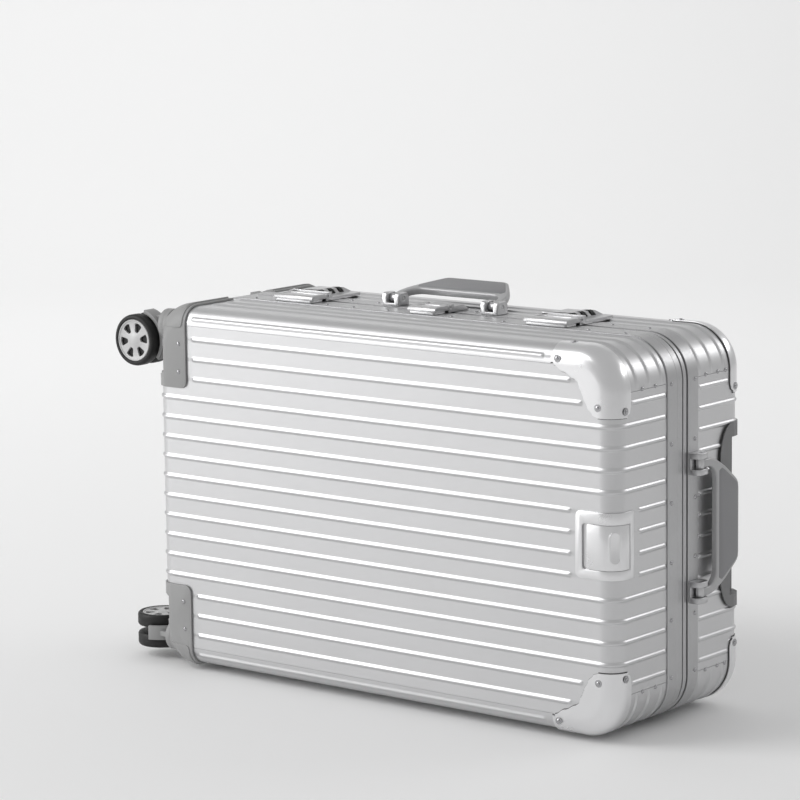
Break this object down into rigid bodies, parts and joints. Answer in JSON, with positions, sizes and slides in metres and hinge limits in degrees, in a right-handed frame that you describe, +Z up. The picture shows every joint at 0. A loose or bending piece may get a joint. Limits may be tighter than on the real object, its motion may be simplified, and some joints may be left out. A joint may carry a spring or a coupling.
{
  "type": "hard shell suitcase",
  "caption": "Ribbed metal two-shell suitcase on swivelling twin wheels, with a framed lid, latches, folding handles and a pull-out trolley.",
  "frame": {"origin": "on the floor under the middle of the overall box, with the case lying on its long hinged side", "axes": "+X from the wheels to the handle end, -Y out of the lid's large face, +Z up through the latches and the carry handle"},
  "size_m": [0.7947, 0.267, 0.492],
  "materials": {
    "shell_aluminium": "satin anodised sheet with pressed ribs",
    "rail_aluminium": "matt anodised extrusion",
    "fitting_metal": "satin plated die casting",
    "caster_plastic": "fine-textured grey nylon",
    "housing_plastic": "dark grey moulded plastic",
    "dial_plastic": "black moulded plastic",
    "tyre_black": "matt black polyurethane",
    "foot_rubber": "matt black rubber",
    "handle_grip": "soft grey covering, finely grained",
    "lining_fabric": "dark grey woven polyester over a stiff tray"
  },
  "bodies": {
    "rear_case": {"rear_panel": "shell_aluminium", "rear_top_strip": "shell_aluminium", "rear_bottom_strip": "shell_aluminium", "rear_rail": "rail_aluminium", "rear_top_guard": "shell_aluminium", "rear_bottom_guard": "shell_aluminium", "rear_lining": "lining_fabric", "rear_foot_wheel_end": "foot_rubber", "rear_foot_handle_end": "foot_rubber", "hinge_rear_leaf": "fitting_metal", "hinge_pin": "fitting_metal", "latch_body_left": "fitting_metal", "latch_body_right": "fitting_metal", "latch_body_centre": "fitting_metal", "caster_bracket_rear_top": "caster_plastic", "caster_bracket_rear_bottom": "caster_plastic", "trolley_housing": "housing_plastic", "carry_handle_block_a": "fitting_metal", "carry_handle_block_b": "fitting_metal", "end_handle_block_a": "fitting_metal", "end_handle_block_b": "fitting_metal"},
    "lid": {"lid_panel": "shell_aluminium", "lid_top_strip": "shell_aluminium", "lid_bottom_strip": "shell_aluminium", "lid_rail": "rail_aluminium", "lid_top_guard": "shell_aluminium", "lid_bottom_guard": "shell_aluminium", "hook_plate": "shell_aluminium", "lid_lining": "lining_fabric", "lid_foot_wheel_end": "foot_rubber", "lid_foot_handle_end": "foot_rubber", "hinge_lid_leaf": "fitting_metal", "latch_strike_left": "fitting_metal", "latch_strike_right": "fitting_metal", "latch_strike_centre": "fitting_metal", "caster_bracket_lid_top": "caster_plastic", "caster_bracket_lid_bottom": "caster_plastic"},
    "fork_lid_top": {"caster_fork_lid_top": "caster_plastic"},
    "wheels_lid_top": {"caster_wheels_lid_top": "tyre_black"},
    "fork_lid_bottom": {"caster_fork_lid_bottom": "caster_plastic"},
    "wheels_lid_bottom": {"caster_wheels_lid_bottom": "tyre_black"},
    "fork_rear_top": {"caster_fork_rear_top": "caster_plastic"},
    "wheels_rear_top": {"caster_wheels_rear_top": "tyre_black"},
    "fork_rear_bottom": {"caster_fork_rear_bottom": "caster_plastic"},
    "wheels_rear_bottom": {"caster_wheels_rear_bottom": "tyre_black"},
    "trolley": {"trolley_stage": "fitting_metal", "trolley_grip": "housing_plastic"},
    "trolley_button": {"trolley_button": "caster_plastic"},
    "carry_handle": {"carry_handle": "handle_grip"},
    "end_handle": {"end_handle": "handle_grip"},
    "latch_lever_left": {"latch_lever_left": "fitting_metal"},
    "latch_dial_left_1": {"latch_dial_left_1": "dial_plastic"},
    "latch_dial_left_2": {"latch_dial_left_2": "dial_plastic"},
    "latch_dial_left_3": {"latch_dial_left_3": "dial_plastic"},
    "latch_lever_right": {"latch_lever_right": "fitting_metal"},
    "latch_dial_right_1": {"latch_dial_right_1": "dial_plastic"},
    "latch_dial_right_2": {"latch_dial_right_2": "dial_plastic"},
    "latch_dial_right_3": {"latch_dial_right_3": "dial_plastic"},
    "latch_lever_centre": {"latch_lever_centre": "fitting_metal"},
    "hook_flap": {"hook_flap": "shell_aluminium"}
  },
  "joints": [
    {"name": "lid_hinge", "type": "hinge", "parent": "rear_case", "child": "lid", "pos_m": [0.028, 0.00185, 0.003], "axis": [1, 0, 0], "range_deg": [0, 180]},
    {"name": "swivel_lid_top", "type": "hinge", "parent": "lid", "child": "fork_lid_top", "pos_m": [-0.313, -0.102, 0.434], "axis": [1, 0, 0], "continuous": true},
    {"name": "wheel_spin_lid_top", "type": "hinge", "parent": "fork_lid_top", "child": "wheels_lid_top", "pos_m": [-0.365, -0.102, 0.412], "axis": [0, 1, 0], "continuous": true},
    {"name": "swivel_lid_bottom", "type": "hinge", "parent": "lid", "child": "fork_lid_bottom", "pos_m": [-0.313, -0.102, 0.0355], "axis": [1, 0, 0], "continuous": true},
    {"name": "wheel_spin_lid_bottom", "type": "hinge", "parent": "fork_lid_bottom", "child": "wheels_lid_bottom", "pos_m": [-0.365, -0.08, 0.0355], "axis": [0, 0, 1], "continuous": true},
    {"name": "swivel_rear_top", "type": "hinge", "parent": "rear_case", "child": "fork_rear_top", "pos_m": [-0.313, 0.102, 0.434], "axis": [1, 0, 0], "continuous": true},
    {"name": "wheel_spin_rear_top", "type": "hinge", "parent": "fork_rear_top", "child": "wheels_rear_top", "pos_m": [-0.365, 0.102, 0.412], "axis": [0, 1, 0], "continuous": true},
    {"name": "swivel_rear_bottom", "type": "hinge", "parent": "rear_case", "child": "fork_rear_bottom", "pos_m": [-0.313, 0.102, 0.0355], "axis": [1, 0, 0], "continuous": true},
    {"name": "wheel_spin_rear_bottom", "type": "hinge", "parent": "fork_rear_bottom", "child": "wheels_rear_bottom", "pos_m": [-0.365, 0.08, 0.0355], "axis": [0, 0, 1], "continuous": true},
    {"name": "trolley_slide", "type": "slide", "parent": "rear_case", "child": "trolley", "axis": [1, 0, 0], "range_m": [0, 0.43]},
    {"name": "trolley_button_press", "type": "slide", "parent": "trolley", "child": "trolley_button", "axis": [-1, 0, 0], "range_m": [0, 0.003], "stiffness_N_per_m": 400, "springref_m": -0.003},
    {"name": "carry_handle_hinge", "type": "hinge", "parent": "rear_case", "child": "carry_handle", "pos_m": [0.016, 0.0245, 0.472], "axis": [1, 0, 0], "range_deg": [0, 80]},
    {"name": "end_handle_hinge", "type": "hinge", "parent": "rear_case", "child": "end_handle", "pos_m": [0.389, 0.0245, 0.23475], "axis": [0, 0, -1], "range_deg": [0, 85]},
    {"name": "latch_lever_left_hinge", "type": "hinge", "parent": "rear_case", "child": "latch_lever_left", "pos_m": [-0.184, 0.0062, 0.469], "axis": [-1, 0, 0], "range_deg": [0, 95]},
    {"name": "latch_dial_left_1_turn", "type": "hinge", "parent": "rear_case", "child": "latch_dial_left_1", "pos_m": [-0.175, 0.0185, 0.4693], "axis": [0, 1, 0], "continuous": true},
    {"name": "latch_dial_left_2_turn", "type": "hinge", "parent": "rear_case", "child": "latch_dial_left_2", "pos_m": [-0.175, 0.035, 0.4693], "axis": [0, 1, 0], "continuous": true},
    {"name": "latch_dial_left_3_turn", "type": "hinge", "parent": "rear_case", "child": "latch_dial_left_3", "pos_m": [-0.175, 0.0515, 0.4693], "axis": [0, 1, 0], "continuous": true},
    {"name": "latch_lever_right_hinge", "type": "hinge", "parent": "rear_case", "child": "latch_lever_right", "pos_m": [0.204, 0.0062, 0.469], "axis": [-1, 0, 0], "range_deg": [0, 95]},
    {"name": "latch_dial_right_1_turn", "type": "hinge", "parent": "rear_case", "child": "latch_dial_right_1", "pos_m": [0.213, 0.0185, 0.4693], "axis": [0, 1, 0], "continuous": true},
    {"name": "latch_dial_right_2_turn", "type": "hinge", "parent": "rear_case", "child": "latch_dial_right_2", "pos_m": [0.213, 0.035, 0.4693], "axis": [0, 1, 0], "continuous": true},
    {"name": "latch_dial_right_3_turn", "type": "hinge", "parent": "rear_case", "child": "latch_dial_right_3", "pos_m": [0.213, 0.0515, 0.4693], "axis": [0, 1, 0], "continuous": true},
    {"name": "latch_lever_centre_hinge", "type": "hinge", "parent": "rear_case", "child": "latch_lever_centre", "pos_m": [0.019, 0.0062, 0.469], "axis": [-1, 0, 0], "range_deg": [0, 95]},
    {"name": "hook_flap_hinge", "type": "hinge", "parent": "lid", "child": "hook_flap", "pos_m": [0.3795, -0.1059, 0.2335], "axis": [0, 0, 1], "range_deg": [0, 90]}
  ]
}
